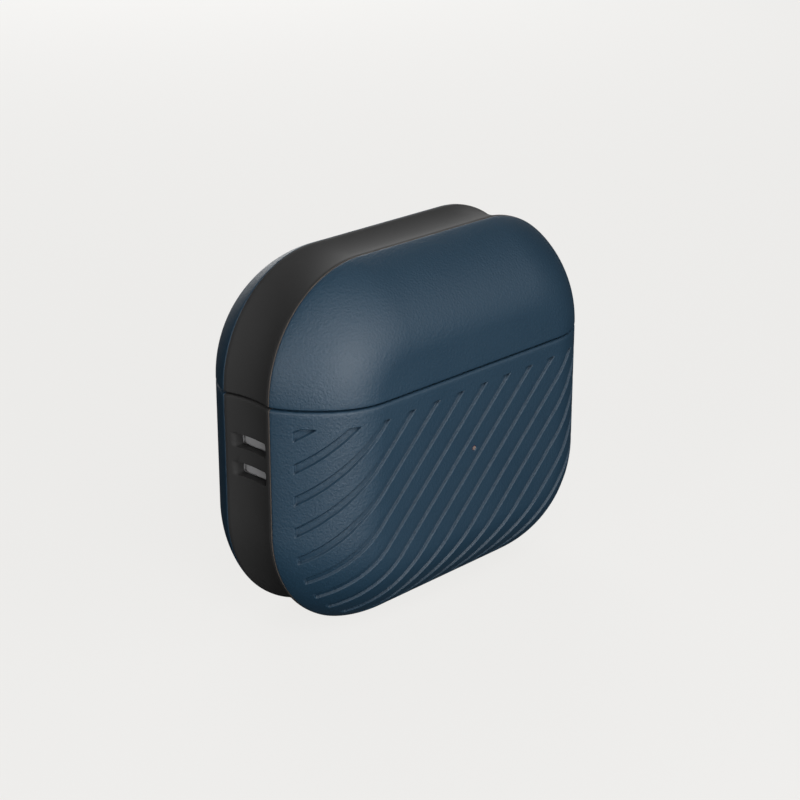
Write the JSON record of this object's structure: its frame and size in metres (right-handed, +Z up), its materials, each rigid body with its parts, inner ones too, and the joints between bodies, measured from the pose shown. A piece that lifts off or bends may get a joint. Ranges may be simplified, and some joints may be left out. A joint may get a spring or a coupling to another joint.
{
  "type": "wireless earbuds case",
  "caption": "Pocket charging case for wireless earbuds: rounded box with a hinged lid, ribbed front, dark edge band and a lanyard bar.",
  "frame": {"origin": "centre of the closed case's box, on the surface it stands on", "axes": "+X across the case to the right seen from the front, -Y towards the grooved front, +Z up"},
  "size_m": [0.058, 0.0272, 0.051],
  "materials": {
    "shell_blue": "moulded with a fine leather grain, satin",
    "band_black": "fine matte texture, moulded over a hard band",
    "housing_grey": "matte moulded plastic",
    "deck_white": "satin-gloss moulded plastic",
    "well_white": "polished moulded plastic",
    "contact_gold": "gold plated",
    "flex_amber": "polyimide film over copper",
    "magnet_nickel": "nickel plated",
    "cell_foil": "dull laminated foil",
    "foam_grey": "closed-cell foam",
    "board_green": "solder mask over glass-epoxy board",
    "chip_black": "moulded chip packages",
    "screw_steel": "zinc plated",
    "switch_metal": "stamped cover",
    "coil_copper": "enamelled copper wire",
    "ferrite_dark": "ferrite sheet",
    "port_steel": "deep-drawn steel shell",
    "tongue_black": "moulded tongue",
    "seal_rubber": "matte seal",
    "light_pipe": "diffusing clear plastic",
    "led_package": "moulded lens",
    "hinge_steel": "stamped and rolled stainless steel"
  },
  "bodies": {
    "base": {"base_front_shell": "shell_blue", "base_back_shell": "shell_blue", "base_band": "band_black", "base_housing": "housing_grey", "tray_deck": "deck_white", "left_bud_well": "well_white", "right_bud_well": "well_white", "charge_contacts": "contact_gold", "contact_flex": "flex_amber", "stem_magnets": "magnet_nickel", "base_magnets": "magnet_nickel", "battery_cell": "cell_foil", "battery_pad": "foam_grey", "battery_lead": "flex_amber", "main_board": "board_green", "board_chips": "chip_black", "board_screws": "screw_steel", "pairing_switch": "switch_metal", "charging_coil": "coil_copper", "coil_shield": "ferrite_dark", "port_receptacle": "port_steel", "port_tongue": "tongue_black", "port_board": "board_green", "port_flex": "flex_amber", "port_seal": "seal_rubber", "status_light_pipe": "light_pipe", "status_led": "led_package", "led_flex": "flex_amber", "hinge_base_leaf": "hinge_steel", "hinge_pin": "hinge_steel", "base_hinge_screws": "screw_steel"},
    "lid": {"lid_front_shell": "shell_blue", "lid_back_shell": "shell_blue", "lid_band": "band_black", "lid_housing": "housing_grey", "lid_insert": "deck_white", "lid_magnets": "magnet_nickel", "hinge_lid_leaf": "hinge_steel", "lid_hinge_screws": "screw_steel"},
    "button": {"pairing_button": "shell_blue"}
  },
  "joints": [
    {"name": "lid_hinge", "type": "hinge", "parent": "base", "child": "lid", "pos_m": [0, 0.0126, 0.03435], "axis": [-1, 0, 0], "range_deg": [0, 100]},
    {"name": "pairing_press", "type": "slide", "parent": "base", "child": "button", "axis": [0, -1, 0], "range_m": [0, 0.0003], "stiffness_N_per_m": 400}
  ]
}
